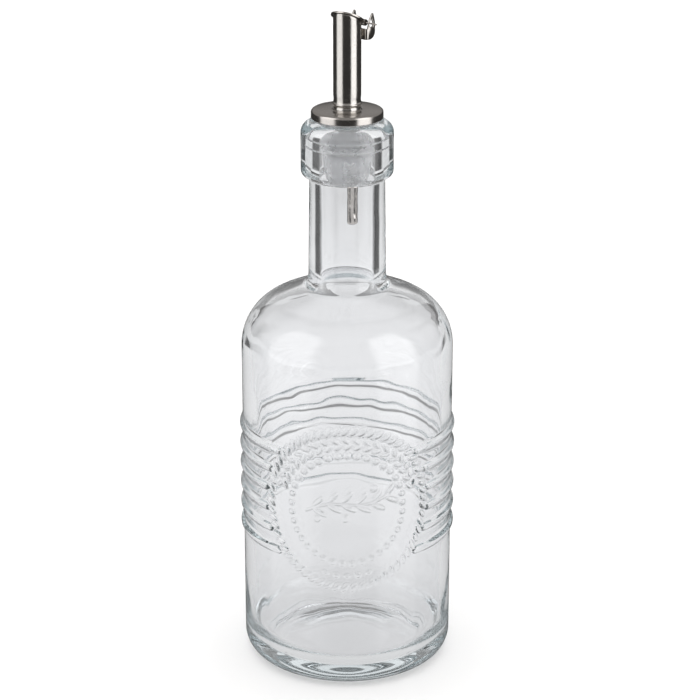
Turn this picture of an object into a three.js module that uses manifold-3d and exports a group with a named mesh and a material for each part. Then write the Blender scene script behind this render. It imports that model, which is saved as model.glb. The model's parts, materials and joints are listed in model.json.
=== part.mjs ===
// Glass oil bottle with a stainless steel pourer.
// Millimetres, +Z up, origin at the centre of the foot, front panel towards -Y.

import * as THREE from 'three';
import { mergeVertices } from 'three/addons/utils/BufferGeometryUtils.js';
import Module from 'manifold-3d';

const wasm = await Module();
wasm.setup();

// ---- driving dimensions: glass bottle -------------------------------------------------------
const BODY_R = 40.0; // outer radius of the body
const WALL = 3.4; // glass thickness of the body
const HEEL_R = 8.2; // rounding between wall and foot
const FOOT_INNER_R = 27.4; // inner edge of the flat ring that it stands on
const PUNT_RISE = 3.4; // height of the push-up under the base
const FLOOR_Z = 5.8; // inside floor at its outer edge
const FLOOR_CROWN = 1.0; // rise of the inside floor towards the middle
const FLOOR_CORNER_R = 11.5; // inside corner between floor and wall
const SHOULDER_Z = 126.0; // where the straight wall ends
const SHOULDER_R = 21.0; // rounding of the shoulder
const SHOULDER_SLOPE = THREE.MathUtils.degToRad(24); // slope of the shoulder under the neck
const NECK_BASE_R = 14.5;
const NECK_TOP_R = 14.05;
const BORE_R = 10.2; // inside radius of neck and mouth
const COLLAR_R = 17.15; // thick ring round the mouth
const COLLAR_BOTTOM = 192.0;
const MOUTH_Z = 212.6; // top of the glass
const COLLAR_TOP_ROUND = 4.2;
const COLLAR_LOW_ROUND = 2.4;

// ---- driving dimensions: relief on the body --------------------------------------------------
const RIB_COUNT = 6;
const RIB_PITCH = 8.1;
const RIB_MID_Z = 74.5; // height of the middle of the rib field and of the front medallion
const RIB_HEIGHT = 1.15;
const RIB_HALF_WIDTH = 1.6;
const PANEL_R = 34.5; // radius of the clear round panel, measured along the glass
const ROPE_RING_R = 31.6; // raised ring near the edge of the panel
const DOT_RING_R = 21.8; // raised ring inside it
const RING_HEIGHT = 0.9;
const ROPE_HALF_WIDTH = 2.0;
const DOT_HALF_WIDTH = 1.2;

// ---- driving dimensions: pourer ----------------------------------------------------------------
const GAP = 0.3; // clearance between neighbouring pieces
const CAP_R = 13.33;
const CAP_SHEET = 0.6;
const CAP_TOP = 217.1;
const CAP_SKIRT_BOTTOM = 213.9;
const TUBE_R = 5.14;
const TUBE_WALL = 0.6;
const TUBE_BOTTOM = 201.3; // lower end of the tube, inside the stopper
const TUBE_TOP = 250.25; // height of the slanted mouth on the tube's axis
const MOUTH_TILT = THREE.MathUtils.degToRad(30);
const MOUTH_AZIMUTH = THREE.MathUtils.degToRad(64); // the way the slanted mouth falls
const VENT_R = 2.0;
const VENT_WALL = 0.4;
const VENT_X = 1.95;
const VENT_Y = 0.95;
const VENT_BOTTOM = 173.3;
const VENT_TOP = 236.0;
const STOPPER_BOTTOM = 191.6;
const STOPPER_STEP = 201.0; // ledge that the tube stands on
const FIN_R = BORE_R - GAP;

// ---- driving dimensions: flap and its hinge ------------------------------------------------------
const HINGE_AZIMUTH = THREE.MathUtils.degToRad(48); // side of the tube that carries the hinge
const HINGE_OUT = 7.95; // distance of the pin from the tube's axis
const HINGE_Z = 248.0;
const PIN_R = 0.3;
const PIN_HALF = 7.0;
const SHEET = 0.6; // thickness of bracket and flap
const BRACKET_HALF = 4.65;
const BRACKET_IN = TUBE_R + GAP;
const BRACKET_OUT = 10.0;
const BRACKET_BOTTOM = 242.3;
const WEB_TOP = 246.3;
const EAR_TIP_Z = 251.8;
const EAR_TIP_OUT = 8.7;
const FLAP_R = 6.35;
const TAIL_HALF = 1.9;
const CURL_R = 1.2;
const CURL_BORE_R = PIN_R + GAP;

const ROUND = 64; // facets round the bottle

// ---- materials -------------------------------------------------------------------------------------
function finish(colour, roughness, metalness) {
  return new THREE.MeshStandardMaterial({ color: colour, roughness, metalness });
}

const glass = () => finish(0xdfe8e6, 0.05, 0.0);
const steel = () => finish(0xc9c6c1, 0.3, 1.0);
const silicone = () => finish(0xd9dde0, 0.5, 0.0);

// ---- small helpers ------------------------------------------------------------------------------------
// Points of a circular arc in the (radius, height) plane, both ends included.
function arc(centreR, centreZ, radius, fromDeg, toDeg, steps) {
  const points = [];
  for (let i = 0; i <= steps; i += 1) {
    const angle = THREE.MathUtils.degToRad(fromDeg + ((toDeg - fromDeg) * i) / steps);
    points.push([centreR + radius * Math.cos(angle), centreZ + radius * Math.sin(angle)]);
  }
  return points;
}

// A solid of revolution about +Z from an outline of [radius, height] points.
function turned(outline, facets) {
  const profile = outline.map(([r, z]) => new THREE.Vector2(r, z));
  const shape = new THREE.LatheGeometry(profile, facets);
  return shape.rotateX(Math.PI / 2);
}

// The same for a ring-shaped section, whose outline returns to its first point.
function turnedRing(outline, facets) {
  return turned([...outline, outline[0]], facets);
}

function toSolid(geometry) {
  const bare = geometry.clone();
  bare.deleteAttribute('normal');
  bare.deleteAttribute('uv');
  const welded = mergeVertices(bare, 1e-4);
  const corners = Float32Array.from(welded.attributes.position.array);
  const triangles = dropSlivers(Uint32Array.from(welded.index.array));
  if (volumeOf(corners, triangles) < 0) {
    turnRound(triangles);
  }
  const mesh = new wasm.Mesh({ numProp: 3, vertProperties: corners, triVerts: triangles });
  return new wasm.Manifold(mesh);
}

function dropSlivers(triangles) {
  const kept = [];
  for (let i = 0; i < triangles.length; i += 3) {
    const [a, b, c] = triangles.subarray(i, i + 3);
    if (a !== b && b !== c && c !== a) {
      kept.push(a, b, c);
    }
  }
  return Uint32Array.from(kept);
}

function volumeOf(corners, triangles) {
  const a = new THREE.Vector3();
  const b = new THREE.Vector3();
  const c = new THREE.Vector3();
  let sum = 0;
  for (let i = 0; i < triangles.length; i += 3) {
    a.fromArray(corners, triangles[i] * 3);
    b.fromArray(corners, triangles[i + 1] * 3);
    c.fromArray(corners, triangles[i + 2] * 3);
    sum += a.dot(b.cross(c));
  }
  return sum / 6;
}

function turnRound(triangles) {
  for (let i = 0; i < triangles.length; i += 3) {
    [triangles[i + 1], triangles[i + 2]] = [triangles[i + 2], triangles[i + 1]];
  }
}

function toGeometry(solid) {
  const mesh = solid.getMesh();
  const geometry = new THREE.BufferGeometry();
  geometry.setAttribute('position', new THREE.BufferAttribute(mesh.vertProperties, 3));
  geometry.setIndex(new THREE.BufferAttribute(mesh.triVerts, 1));
  return geometry;
}

function named(name, solid, material) {
  const mesh = new THREE.Mesh(toGeometry(solid), material);
  mesh.name = name;
  return mesh;
}

// A closed outline in a plane, extruded both ways from it along the plane's normal.
// across, up: the plane's directions; the extrusion follows across x up.
function plate(shape, halfDepth, across, up, curveSegments = 6) {
  const depth = 2 * halfDepth;
  const geometry = new THREE.ExtrudeGeometry(shape, { depth, bevelEnabled: false, curveSegments });
  geometry.translate(0, 0, -halfDepth);
  const normal = new THREE.Vector3().crossVectors(across, up);
  geometry.applyMatrix4(new THREE.Matrix4().makeBasis(across, up, normal));
  return geometry;
}

// ---- bottle -----------------------------------------------------------------------------------------
// Where the shoulder's arc ends, for a given rounding radius about the shared centre.
function shoulderEnd(radius) {
  const centreR = BODY_R - SHOULDER_R;
  return [
    centreR + radius * Math.sin(SHOULDER_SLOPE),
    SHOULDER_Z + radius * Math.cos(SHOULDER_SLOPE),
  ];
}

// Height of the shoulder's cone at radius r, for the cone that starts at the given point.
function coneHeight([startR, startZ], r) {
  return startZ + (startR - r) * Math.tan(SHOULDER_SLOPE);
}

function bottleOutside() {
  const centreR = BODY_R - SHOULDER_R;
  const slopeDeg = THREE.MathUtils.radToDeg(SHOULDER_SLOPE);
  const end = shoulderEnd(SHOULDER_R);
  const neckFillet = 1.6;
  const neckFoot = coneHeight(end, NECK_BASE_R + neckFillet);
  return [
    [0, PUNT_RISE],
    [FOOT_INNER_R * 0.35, PUNT_RISE * 0.94],
    [FOOT_INNER_R * 0.65, PUNT_RISE * 0.72],
    [FOOT_INNER_R * 0.88, PUNT_RISE * 0.36],
    [FOOT_INNER_R, 0],
    ...arc(BODY_R - HEEL_R, HEEL_R, HEEL_R, -90, 0, 5),
    ...arc(centreR, SHOULDER_Z, SHOULDER_R, 0, 90 - slopeDeg, 7),
    [NECK_BASE_R + neckFillet, neckFoot],
    [NECK_BASE_R + neckFillet * 0.3, neckFoot + neckFillet * 0.8],
    [NECK_BASE_R, neckFoot + neckFillet * 2],
    [NECK_TOP_R, COLLAR_BOTTOM - 0.6],
    ...arc(COLLAR_R - COLLAR_LOW_ROUND, COLLAR_BOTTOM + COLLAR_LOW_ROUND, COLLAR_LOW_ROUND, -90, 0, 3),
    ...arc(COLLAR_R - COLLAR_TOP_ROUND, MOUTH_Z - COLLAR_TOP_ROUND, COLLAR_TOP_ROUND, 0, 90, 4),
  ];
}

function bottleInside() {
  const centreR = BODY_R - SHOULDER_R;
  const slopeDeg = THREE.MathUtils.radToDeg(SHOULDER_SLOPE);
  const innerRound = SHOULDER_R - WALL;
  const innerWall = BODY_R - WALL;
  const end = shoulderEnd(innerRound);
  const throat = 3.0;
  const throatZ = coneHeight(end, BORE_R + throat);
  const lip = 0.8;
  return [
    [BORE_R + lip, MOUTH_Z],
    [BORE_R + lip * 0.3, MOUTH_Z - lip * 0.3],
    [BORE_R, MOUTH_Z - lip],
    [BORE_R, throatZ + throat * 1.6],
    [BORE_R + throat * 0.35, throatZ + throat * 0.5],
    [BORE_R + throat, throatZ],
    ...arc(centreR, SHOULDER_Z, innerRound, 90 - slopeDeg, 0, 6),
    ...arc(innerWall - FLOOR_CORNER_R, FLOOR_Z + FLOOR_CORNER_R, FLOOR_CORNER_R, 0, -90, 5),
    [0, FLOOR_Z + FLOOR_CROWN],
  ];
}

// A point on the body: arc length along the glass from the front centre line, and height.
function onBody(along, z, lift) {
  const angle = along / BODY_R;
  const radius = BODY_R + lift;
  return new THREE.Vector3(radius * Math.sin(angle), -radius * Math.cos(angle), z);
}

// One rib is a turned ring, open over the round panel at the front.
function ribSolid(z) {
  const foot = BODY_R - 0.1;
  const root = BODY_R - 1.0;
  const flank = BODY_R + RIB_HEIGHT * 0.75;
  const outline = [
    [root, z - RIB_HALF_WIDTH],
    [foot, z - RIB_HALF_WIDTH],
    [flank, z - RIB_HALF_WIDTH * 0.5],
    [BODY_R + RIB_HEIGHT, z],
    [flank, z + RIB_HALF_WIDTH * 0.5],
    [foot, z + RIB_HALF_WIDTH],
    [root, z + RIB_HALF_WIDTH],
  ];
  const reach = Math.sqrt(PANEL_R ** 2 - (z - RIB_MID_Z) ** 2);
  return toSolid(turnedRing(outline, ROUND)).subtract(frontWedge(reach / BODY_R, z));
}

// A wedge round height z that takes in the front of the body, up to an angle on each side.
function frontWedge(angle, z) {
  const far = BODY_R * 1.5;
  const outline = new THREE.Shape();
  outline.moveTo(0, 0);
  outline.lineTo(-far * Math.sin(angle), -far * Math.cos(angle));
  outline.lineTo(0, -far);
  outline.lineTo(far * Math.sin(angle), -far * Math.cos(angle));
  outline.closePath();
  const depth = 4 * RIB_HALF_WIDTH;
  const geometry = new THREE.ExtrudeGeometry(outline, { depth, bevelEnabled: false });
  geometry.translate(0, 0, z - depth / 2);
  return toSolid(geometry);
}

// A raised ring on the front panel, wrapped round the body, with its foot buried in the glass.
function panelRing(radius, halfWidth, steps) {
  const bury = 0.3;
  const section = [
    [-3 * bury, -halfWidth],
    [-bury, -halfWidth],
    [RING_HEIGHT, 0],
    [-bury, halfWidth],
    [-3 * bury, halfWidth],
  ];
  const corners = [];
  for (let i = 0; i < steps; i += 1) {
    const turn = (2 * Math.PI * i) / steps;
    for (const [lift, out] of section) {
      const r = radius + out;
      const corner = onBody(r * Math.cos(turn), RIB_MID_Z + r * Math.sin(turn), lift);
      corners.push(corner.x, corner.y, corner.z);
    }
  }
  return toSolid(closedSweep(corners, section.length, steps));
}

// Joins rows of corners, one row for each step, into a tube that returns to its first row.
function closedSweep(corners, rowLength, steps) {
  const index = [];
  for (let i = 0; i < steps; i += 1) {
    for (let j = 0; j < rowLength; j += 1) {
      const next = (j + 1) % rowLength;
      const row = i * rowLength;
      const nextRow = ((i + 1) % steps) * rowLength;
      index.push(row + j, row + next, nextRow + next);
      index.push(row + j, nextRow + next, nextRow + j);
    }
  }
  const sweep = new THREE.BufferGeometry();
  sweep.setAttribute('position', new THREE.Float32BufferAttribute(corners, 3));
  sweep.setIndex(index);
  return sweep;
}

function makeBottle() {
  let solid = toSolid(turned([...bottleOutside(), ...bottleInside()], ROUND));
  for (let i = 0; i < RIB_COUNT; i += 1) {
    const z = RIB_MID_Z + (i - (RIB_COUNT - 1) / 2) * RIB_PITCH;
    solid = solid.add(ribSolid(z));
  }
  solid = solid.add(panelRing(ROPE_RING_R, ROPE_HALF_WIDTH, 40));
  solid = solid.add(panelRing(DOT_RING_R, DOT_HALF_WIDTH, 32));
  return named('bottle', solid, glass());
}

// ---- stopper -----------------------------------------------------------------------------------------
function makeStopper() {
  const flangeR = CAP_R - CAP_SHEET - GAP;
  const flangeTop = CAP_TOP - CAP_SHEET - GAP;
  const flangeBottom = MOUTH_Z + GAP;
  const coreR = 9.0;
  const finHeights = [209.4, 206.2, 203.0];
  const boreR = TUBE_R + GAP;
  const passageR = 4.6;
  const outside = [
    [flangeR, flangeTop],
    [flangeR, flangeBottom],
    [coreR, flangeBottom],
  ];
  for (const z of finHeights) {
    outside.push([coreR, z + 0.9], [FIN_R, z + 0.3], [FIN_R, z - 0.3], [coreR, z - 0.9]);
  }
  outside.push([coreR, 200.6]);
  outside.push([8.8, 197.4]);
  outside.push([8.2, 194.2]);
  outside.push([6.9, STOPPER_BOTTOM]);
  const inside = [
    [passageR, STOPPER_BOTTOM],
    [passageR, STOPPER_STEP],
    [boreR, STOPPER_STEP],
    [boreR, flangeTop],
  ];
  return named('stopper', toSolid(turnedRing([...outside, ...inside], 40)), silicone());
}

// ---- cap ---------------------------------------------------------------------------------------------
function makeCap() {
  const edge = 0.9;
  const crown = 0.35;
  const holeR = TUBE_R + GAP;
  const innerR = CAP_R - CAP_SHEET;
  const outline = [
    [holeR, CAP_TOP + crown],
    [CAP_R * 0.65, CAP_TOP + crown * 0.6],
    ...arc(CAP_R - edge, CAP_TOP - edge, edge, 90, 0, 3),
    [CAP_R, CAP_SKIRT_BOTTOM],
    [innerR, CAP_SKIRT_BOTTOM],
    [innerR, CAP_TOP - CAP_SHEET],
    [holeR, CAP_TOP - CAP_SHEET],
  ];
  return named('cap', toSolid(turnedRing(outline, 48)), steel());
}

// ---- spout tube ----------------------------------------------------------------------------------------
function mouthNormal() {
  return new THREE.Vector3(
    Math.sin(MOUTH_TILT) * Math.cos(MOUTH_AZIMUTH),
    Math.sin(MOUTH_TILT) * Math.sin(MOUTH_AZIMUTH),
    Math.cos(MOUTH_TILT),
  );
}

// A block whose lower face is the slanted mouth's plane.
function aboveMouth() {
  const size = 40;
  const block = new THREE.BoxGeometry(size, size, size);
  const normal = mouthNormal();
  const turn = new THREE.Quaternion().setFromUnitVectors(new THREE.Vector3(0, 0, 1), normal);
  block.applyQuaternion(turn);
  const centre = new THREE.Vector3(0, 0, TUBE_TOP).addScaledVector(normal, size / 2);
  block.translate(centre.x, centre.y, centre.z);
  return toSolid(block);
}

function makeSpoutTube() {
  const inner = TUBE_R - TUBE_WALL;
  const beadZ = CAP_TOP + 2.4;
  const top = TUBE_TOP + TUBE_R;
  const outline = [
    [inner, TUBE_BOTTOM],
    [TUBE_R, TUBE_BOTTOM],
    [TUBE_R, CAP_TOP + 0.8],
    [TUBE_R - 0.25, CAP_TOP + 1.1],
    [TUBE_R - 0.1, beadZ - 0.55],
    [TUBE_R + 0.3, beadZ - 0.3],
    [TUBE_R + 0.3, beadZ + 0.1],
    [TUBE_R - 0.12, beadZ + 0.9],
    [TUBE_R - 0.12, beadZ + 1.8],
    [TUBE_R, beadZ + 2.8],
    [TUBE_R, top],
    [inner, top],
  ];
  const solid = toSolid(turnedRing(outline, 40)).subtract(aboveMouth());
  return named('spout_tube', solid, steel());
}

// ---- vent tube -------------------------------------------------------------------------------------------
function makeVentTube() {
  const inner = VENT_R - VENT_WALL;
  const outline = [
    [inner, VENT_BOTTOM],
    [VENT_R, VENT_BOTTOM],
    [VENT_R, VENT_TOP],
    [inner, VENT_TOP],
  ];
  const geometry = turnedRing(outline, 24).translate(VENT_X, VENT_Y, 0);
  return named('vent_tube', toSolid(geometry), steel());
}

// ---- hinge ---------------------------------------------------------------------------------------------
const outward = new THREE.Vector3(Math.cos(HINGE_AZIMUTH), Math.sin(HINGE_AZIMUTH), 0);
const upward = new THREE.Vector3(0, 0, 1);
const pinAxis = new THREE.Vector3().crossVectors(outward, upward);

// Outline of the bracket seen along the pin: web, rounded foot and the ear with its point.
function earOutline() {
  const corner = 2.8;
  const shape = new THREE.Shape();
  shape.moveTo(BRACKET_IN - 1, BRACKET_BOTTOM);
  shape.lineTo(BRACKET_OUT - corner, BRACKET_BOTTOM);
  shape.absarc(BRACKET_OUT - corner, BRACKET_BOTTOM + corner, corner, -Math.PI / 2, 0, false);
  shape.lineTo(BRACKET_OUT, HINGE_Z - 0.2);
  shape.lineTo(EAR_TIP_OUT + 0.35, EAR_TIP_Z - 0.3);
  shape.lineTo(EAR_TIP_OUT, EAR_TIP_Z);
  shape.lineTo(EAR_TIP_OUT - 0.4, EAR_TIP_Z - 0.4);
  shape.lineTo(BRACKET_IN + 1.3, HINGE_Z + 0.9);
  shape.lineTo(BRACKET_IN + SHEET + 0.2, WEB_TOP);
  shape.lineTo(BRACKET_IN - 1, WEB_TOP);
  shape.closePath();
  return shape;
}

// The U of the bracket seen from above, in (along the pin, out from the tube) coordinates.
function bracketPlan() {
  const bend = 1.0;
  const shape = new THREE.Shape();
  shape.moveTo(-BRACKET_HALF, BRACKET_OUT + 1);
  shape.absarc(-BRACKET_HALF + bend, BRACKET_IN + bend, bend, Math.PI, 1.5 * Math.PI, false);
  shape.absarc(BRACKET_HALF - bend, BRACKET_IN + bend, bend, 1.5 * Math.PI, 2 * Math.PI, false);
  shape.lineTo(BRACKET_HALF, BRACKET_OUT + 1);
  shape.lineTo(BRACKET_HALF - SHEET, BRACKET_OUT + 1);
  shape.lineTo(BRACKET_HALF - SHEET, BRACKET_IN + SHEET);
  shape.lineTo(-BRACKET_HALF + SHEET, BRACKET_IN + SHEET);
  shape.lineTo(-BRACKET_HALF + SHEET, BRACKET_OUT + 1);
  shape.closePath();
  return shape;
}

// Pear-shaped hole that the pin hangs in.
function pearHole() {
  const belly = 1.15;
  const top = 0.35;
  const shape = new THREE.Shape();
  shape.absarc(HINGE_OUT, HINGE_Z - 0.2, belly, Math.PI - 0.5, 2 * Math.PI + 0.5, false);
  shape.absarc(HINGE_OUT, HINGE_Z + 1.5, top, 0.3, Math.PI - 0.3, false);
  shape.closePath();
  return shape;
}

function makeBracket() {
  const middle = (BRACKET_BOTTOM + EAR_TIP_Z) / 2;
  const plan = plate(bracketPlan(), EAR_TIP_Z - BRACKET_BOTTOM, pinAxis, outward, 3);
  plan.translate(0, 0, middle);
  const side = plate(earOutline(), BRACKET_HALF + 1, outward, upward, 6);
  const hole = plate(pearHole(), BRACKET_HALF + 2, outward, upward, 8);
  const solid = toSolid(plan).intersect(toSolid(side)).subtract(toSolid(hole));
  return named('hinge_bracket', solid, steel());
}

function makePin() {
  const pin = new THREE.CylinderGeometry(PIN_R, PIN_R, 2 * PIN_HALF, 12);
  const turn = new THREE.Quaternion().setFromUnitVectors(new THREE.Vector3(0, 1, 0), pinAxis);
  pin.applyQuaternion(turn);
  pin.translate(HINGE_OUT * outward.x, HINGE_OUT * outward.y, HINGE_Z);
  return named('hinge_pin', toSolid(pin), steel());
}

// ---- flap ------------------------------------------------------------------------------------------------
// The curled eye of the flap and the short strip that joins it to the round lid.
function tailOutline() {
  const normal = mouthNormal();
  const fall = normal.dot(outward) / normal.z;
  const lidZ = (out) => TUBE_TOP + GAP / normal.z - fall * out;
  const start = TUBE_R + 0.12;
  const shape = new THREE.Shape();
  shape.moveTo(start, lidZ(start));
  shape.lineTo(HINGE_OUT - CURL_R * 0.75, HINGE_Z - CURL_R * 0.66);
  shape.absarc(HINGE_OUT, HINGE_Z, CURL_R, 1.27 * Math.PI, 2.9 * Math.PI, false);
  shape.lineTo(start, lidZ(start) + SHEET);
  shape.closePath();
  return shape;
}

function makeFlap() {
  const normal = mouthNormal();
  const lid = new THREE.CylinderGeometry(FLAP_R, FLAP_R - 0.12, SHEET, 48);
  const turn = new THREE.Quaternion().setFromUnitVectors(new THREE.Vector3(0, 1, 0), normal);
  lid.applyQuaternion(turn);
  const centre = new THREE.Vector3(0, 0, TUBE_TOP).addScaledVector(normal, GAP + SHEET / 2);
  lid.translate(centre.x, centre.y, centre.z);
  const tail = plate(tailOutline(), TAIL_HALF, outward, upward, 10);
  const eye = new THREE.CylinderGeometry(CURL_BORE_R, CURL_BORE_R, 3 * TAIL_HALF, 16);
  eye.applyQuaternion(new THREE.Quaternion().setFromUnitVectors(new THREE.Vector3(0, 1, 0), pinAxis));
  eye.translate(HINGE_OUT * outward.x, HINGE_OUT * outward.y, HINGE_Z);
  const solid = toSolid(lid).add(toSolid(tail)).subtract(toSolid(eye));
  return named('flap', solid, steel());
}

// ---- assembly ----------------------------------------------------------------------------------------------
const pourer = new THREE.Group();
pourer.add(makeStopper(), makeCap(), makeSpoutTube(), makeVentTube(), makeBracket(), makePin(), makeFlap());

const oilBottle = new THREE.Group();
oilBottle.add(makeBottle(), pourer);

export default oilBottle;
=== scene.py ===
# Glass oil bottle with a stainless steel pourer: the finished look.
# Metres, the same frame as the frame model: +Z up, foot at z = 0, front panel towards -Y.
import json
import math
import bpy
from mathutils import Matrix, Vector

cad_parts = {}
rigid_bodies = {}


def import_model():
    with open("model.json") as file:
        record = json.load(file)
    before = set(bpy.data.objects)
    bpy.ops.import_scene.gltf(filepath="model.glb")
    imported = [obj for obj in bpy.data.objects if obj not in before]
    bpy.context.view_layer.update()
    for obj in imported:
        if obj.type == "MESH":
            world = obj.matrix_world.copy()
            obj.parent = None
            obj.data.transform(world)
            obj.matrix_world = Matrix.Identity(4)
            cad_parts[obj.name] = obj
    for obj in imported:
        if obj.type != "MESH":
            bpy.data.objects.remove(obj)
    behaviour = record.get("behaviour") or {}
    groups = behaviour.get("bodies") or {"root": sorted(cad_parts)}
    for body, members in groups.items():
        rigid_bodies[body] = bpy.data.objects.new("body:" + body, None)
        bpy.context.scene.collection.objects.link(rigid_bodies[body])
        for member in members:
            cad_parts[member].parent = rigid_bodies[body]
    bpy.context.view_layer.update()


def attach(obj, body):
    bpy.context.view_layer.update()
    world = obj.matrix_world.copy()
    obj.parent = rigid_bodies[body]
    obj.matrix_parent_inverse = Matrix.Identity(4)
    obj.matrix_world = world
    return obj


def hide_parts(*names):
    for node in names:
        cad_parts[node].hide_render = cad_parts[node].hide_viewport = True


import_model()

MM = 0.001

# ---- bottle dimensions, millimetres
BODY_R = 40.0
WALL = 3.4
HEEL_R = 8.2
FOOT_INNER_R = 27.4
FOOT_OUTER_R = 32.8
FOOT_GROOVE = 0.5
PUNT_RISE = 3.4
PUNT_STEPS = 12
HEEL_START = -66 # degrees below level, where the heel leaves the foot
FLOOR_Z = 5.8
FLOOR_CROWN = 1.0
FLOOR_CORNER_R = 11.5
SHOULDER_Z = 126.0
SHOULDER_R = 21.0
SHOULDER_SLOPE = math.radians(24)
NECK_BASE_R = 14.5
NECK_TOP_R = 14.05
NECK_FILLET = 2.6
BORE_R = 10.2
COLLAR_R = 17.15
COLLAR_BOTTOM = 192.0
MOUTH_Z = 212.6
COLLAR_TOP_ROUND = 4.2
COLLAR_LOW_ROUND = 2.4
NECK_ROUND = 1.0 # hollow under the collar
LIP_ROUND = 0.8
THROAT = 3.0 # how far the bore's lower end widens
SOFT_STEPS = 8 # in the curved corners at both ends of the neck

# ---- relief on the body
RIB_COUNT = 6
RIB_PITCH = 8.1
RIB_MID_Z = 74.5
RIB_HEIGHT = 1.12
RIB_HALF_WIDTH = 1.7
PANEL_R = 34.5
ROPE_RING_R = 31.6
ROPE_BEADS = 63
DOT_RING_R = 21.8
DOT_COUNT = 37
GARLAND_R = 26.6
RELIEF_LOW = 41.0
RELIEF_HIGH = 109.0
PANEL_ROW = 0.9
RIB_ROW = 0.5
FRONT_HALF = math.radians(52) # the front has finer columns than the back
FRONT_STEPS = 78
BACK_STEPS = 90

# ---- pourer dimensions
GAP = 0.3
CAP_R = 13.33
CAP_SHEET = 0.6
CAP_TOP = 217.1
CAP_CROWN = 0.35
CAP_SKIRT_BOTTOM = 213.9
TUBE_R = 5.14
TUBE_WALL = 0.6
TUBE_BOTTOM = 201.3
TUBE_TOP = 250.25
MOUTH_TILT = math.radians(30)
MOUTH_AZIMUTH = math.radians(64)
VENT_R = 2.0
VENT_WALL = 0.4
VENT_X = 1.95
VENT_Y = 0.95
VENT_BOTTOM = 173.3
VENT_TOP = 236.0
STOPPER_BOTTOM = 191.6
STOPPER_STEP = 201.0
STOPPER_CORE_R = 9.0
FIN_HEIGHTS = (209.4, 206.2, 203.0)
PASSAGE_R = 4.6
FIN_R = BORE_R + 0.03 # soft fins press on the bore
HINGE_AZIMUTH = math.radians(48)
HINGE_OUT = 7.95
HINGE_Z = 248.0
PIN_R = 0.3
PIN_HALF = 7.0
SHEET = 0.6
BRACKET_HALF = 4.65
BRACKET_IN = TUBE_R + GAP
BRACKET_OUT = 10.0
BRACKET_BOTTOM = 242.3
WEB_TOP = 246.3
EAR_TIP_Z = 251.8
EAR_TIP_OUT = 8.7
FLAP_R = 6.18 # a little less than the frame model's lid, so that it clears the ears as it swings
TAIL_HALF = 1.9
CURL_R = 1.2
CURL_BORE_R = PIN_R + GAP

# ---- ornaments: half width, half depth and half length of each shape, and where they go
STRAND = (1.12, 0.87, 2.2)
DOT = (1.25, 0.87, 1.25)
LEAF = (0.85, 0.85, 1.8)
SPRIG_LEAF = (1.1, 0.87, 3.0)
OLIVE = (1.35, 0.87, 1.7)
LOZENGE = (2.9, 0.9, 1.75)
FOOT_RIDGE = (0.75, 2.9, 0.5)
LEAN = math.radians(38) # of strands and leaves, away from the line they follow
GARLAND_PAIRS = 19
GARLAND_START = math.radians(164)
GARLAND_SWEEP = math.radians(148)
GARLAND_HALF = 1.15
LOZENGE_STEP = 8.2
SPRIG_RISE = math.radians(12)
SPRIG_HALF = 16.0
SPRIG_LIFT = 2.2
SPRIG_WAVE = 1.6
SPRIG_PAIRS = 6
SPRIG_REACH = 3.6
STEM_R = 0.6
RIDGE_COUNT = 64
RIDGE_RING_R = 30.6
RIDGE_SLANT = math.radians(24)

# ---- camera, table and lights, metres
CAMERA_PLACE = (0.0, -0.8473, 0.43705)
CAMERA_TILT = math.radians(69.666)
CAMERA_LENS = 122.56
CAMERA_SHIFT = 0.004
TABLE_SIZE = 14
# glow of the lit table by distance from the foot; the dimmer values close to the foot are a painted shadow
# of the bottle
TABLE_GLOW_AND_SHADOW = ((0.0, 0.70), (0.05, 0.80), (0.1, 0.89), (0.3, 0.96), (0.45, 0.93), (0.6, 0.80), (1.0, 0.86))
CARD_START = (math.radians(28), math.radians(42))
CARD_END = (math.radians(82), math.radians(68))
CARD_NEAR = (0.40, 0.46)
CARD_FAR = (0.95, 0.80)
CARD_DARK = 0.10
# the back card gives off its own light: painted light, grey at its foot, white above
BACK_CARD_WIDTH = 0.9
BACK_CARD_HEIGHT = 1.6
BACK_CARD_AWAY = 1.0
BACK_CARD_RISE = (0.12, 0.22) # where it turns from grey to white, as shares of its height
BACK_CARD_LOW = 0.30
BACK_CARD_HIGH = 0.95
# name, degrees round from the front, width, strength
SOFTBOXES = (("left_softbox", -66, 1.10, 1.35), ("right_softbox", 57, 1.0, 1.7))
SOFTBOX_HEIGHT = 2.6
SOFTBOX_AWAY = 0.9
SOFTBOX_CENTRE = 0.6
SOFTBOX_MARGINS = (("X", 0.2), ("Y", 0.27))
SUN_POWER = 3.3
SUN_SOFTNESS = 1.5
WORLD_RISE = (0.08, 0.28) # from low to full brightness, by the height of the direction
WORLD_GLOW = (0.05, 0.33)
WORLD_COLOUR = (1.0, 0.97, 0.95, 1)
LONG_PATHS = 32
GLOSSY_PATHS = 24

# ---- steels: darker and lighter colour, grain along X, Y and Z, roughness, grain depth (mm)
STEELS = {
    "tube_steel": ((0.42, 0.40, 0.38), (0.74, 0.72, 0.69), (2200, 2200, 3600), (0.12, 0.2), 0.05),
    "cap_steel": ((0.50, 0.475, 0.45), (0.62, 0.59, 0.565), (1500, 1500, 9000), (0.14, 0.24), 0.01),
    "sheet_steel": ((0.50, 0.47, 0.44), (0.62, 0.59, 0.56), (3000, 3000, 3000), (0.14, 0.26), 0.02),
    "pipe_steel": ((0.55, 0.52, 0.49), (0.65, 0.62, 0.59), (4000, 4000, 90), (0.12, 0.2), 0.01),
}


# ---- hand tools
def clear_selection():
    if bpy.context.object and bpy.context.object.mode != 'OBJECT':
        bpy.ops.object.mode_set(mode='OBJECT')
    bpy.ops.object.select_all(action='DESELECT')


def pick(*pieces):
    clear_selection()
    for piece in pieces:
        piece.select_set(True)
    bpy.context.view_layer.objects.active = pieces[0]


def new_piece(name):
    piece = bpy.context.object
    piece.name = name
    piece.data.name = name
    return piece


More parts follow.
